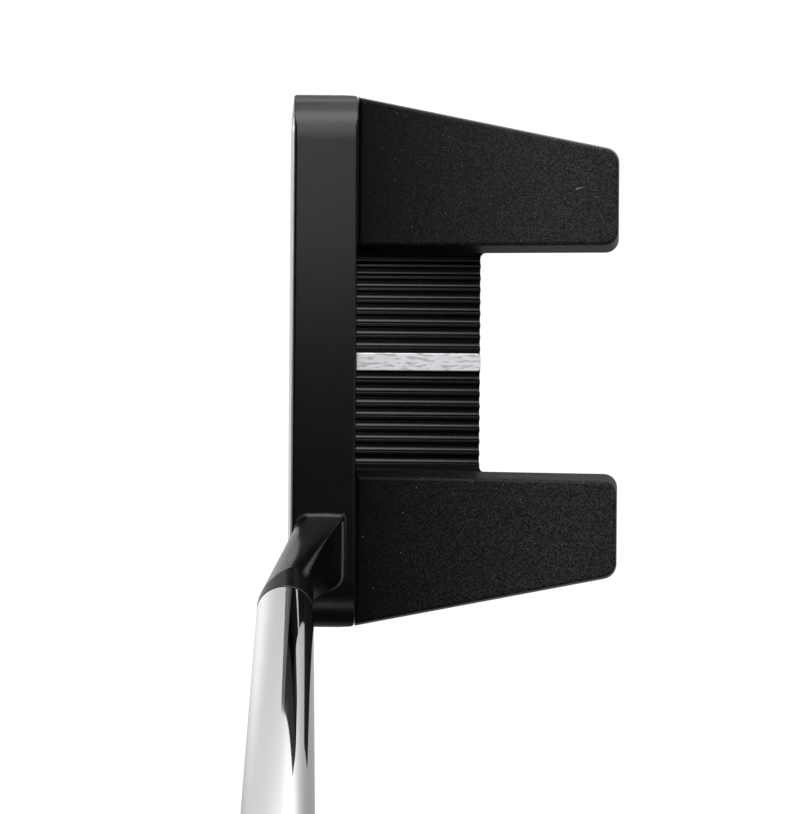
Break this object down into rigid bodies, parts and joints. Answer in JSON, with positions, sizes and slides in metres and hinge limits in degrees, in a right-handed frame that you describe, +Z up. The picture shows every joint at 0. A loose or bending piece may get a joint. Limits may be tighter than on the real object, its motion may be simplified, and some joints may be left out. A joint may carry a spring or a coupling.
{
  "type": "mallet putter",
  "caption": "Golf putter with a two-piece mallet head: steel face block, winged rear body with a ridged deck and sight bar, slanted neck, chrome shaft and rubber grip.",
  "frame": {"origin": "on the ground plane, on the flat sole under the top edge of the face, half-way between heel and toe", "axes": "+X from the face to the back of the head, +Y towards the toe, +Z up; the shaft leans 20 degrees from +Z towards -Y, as the club is held at address"},
  "size_m": [0.0779, 0.3818, 0.8154],
  "materials": {
    "block_black": "smooth satin black finish on steel",
    "body_black": "fine sand-blasted black anodised alloy",
    "face_silver": "milled silver face with a satin sheen",
    "bar_bright": "bright bare metal, brushed along its length",
    "cover_black": "satin black cover plate",
    "fastener_steel": "plain machined steel",
    "weight_steel": "turned stainless steel",
    "shaft_chrome": "polished chrome plate",
    "soft_rubber": "soft black elastomer",
    "nylon": "natural nylon",
    "ring_black": "thin black plastic ring",
    "glue": "cured epoxy",
    "tape": "double-sided paper tape",
    "grip_rubber": "moulded rubber with a fine raised pattern",
    "cap_rubber": "harder moulded rubber"
  },
  "bodies": {
    "putter": {"face_block": "block_black", "face_plate": "face_silver", "insert_cushion": "soft_rubber", "rear_body": "body_black", "alignment_bar": "bar_bright", "seam_gasket": "soft_rubber", "joining_screws": "fastener_steel", "locating_dowels": "fastener_steel", "toe_weight_insert": "fastener_steel", "heel_weight_insert": "fastener_steel", "sole_plate": "cover_black", "sole_plate_screws": "fastener_steel", "damping_pad": "soft_rubber", "shoulder_ring": "ring_black", "shaft_bond": "glue", "shaft": "shaft_chrome", "grip_tape": "tape", "grip": "grip_rubber", "grip_cap": "cap_rubber"},
    "toe_washer_body": {"toe_weight_washer": "nylon"},
    "toe_weight_body": {"toe_weight": "weight_steel"},
    "heel_washer_body": {"heel_weight_washer": "nylon"},
    "heel_weight_body": {"heel_weight": "weight_steel"}
  },
  "joints": [
    {"name": "toe_weight_travel", "type": "slide", "parent": "putter", "child": "toe_washer_body", "axis": [0, 0, -1], "range_m": [0, 0.0085]},
    {"name": "toe_weight_turn", "type": "hinge", "parent": "toe_washer_body", "child": "toe_weight_body", "pos_m": [0.0495, 0.0334, 0.005], "axis": [0, 0, -1], "range_deg": [0, 3060.5]},
    {"name": "heel_weight_travel", "type": "slide", "parent": "putter", "child": "heel_washer_body", "axis": [0, 0, -1], "range_m": [0, 0.0085]},
    {"name": "heel_weight_turn", "type": "hinge", "parent": "heel_washer_body", "child": "heel_weight_body", "pos_m": [0.0495, -0.0334, 0.005], "axis": [0, 0, -1], "range_deg": [0, 3060.5]}
  ],
  "couplings": [
    {"joint": "toe_weight_turn", "follows": "toe_weight_travel", "rad_per_m": 6283.2},
    {"joint": "heel_weight_turn", "follows": "heel_weight_travel", "rad_per_m": 6283.2}
  ]
}
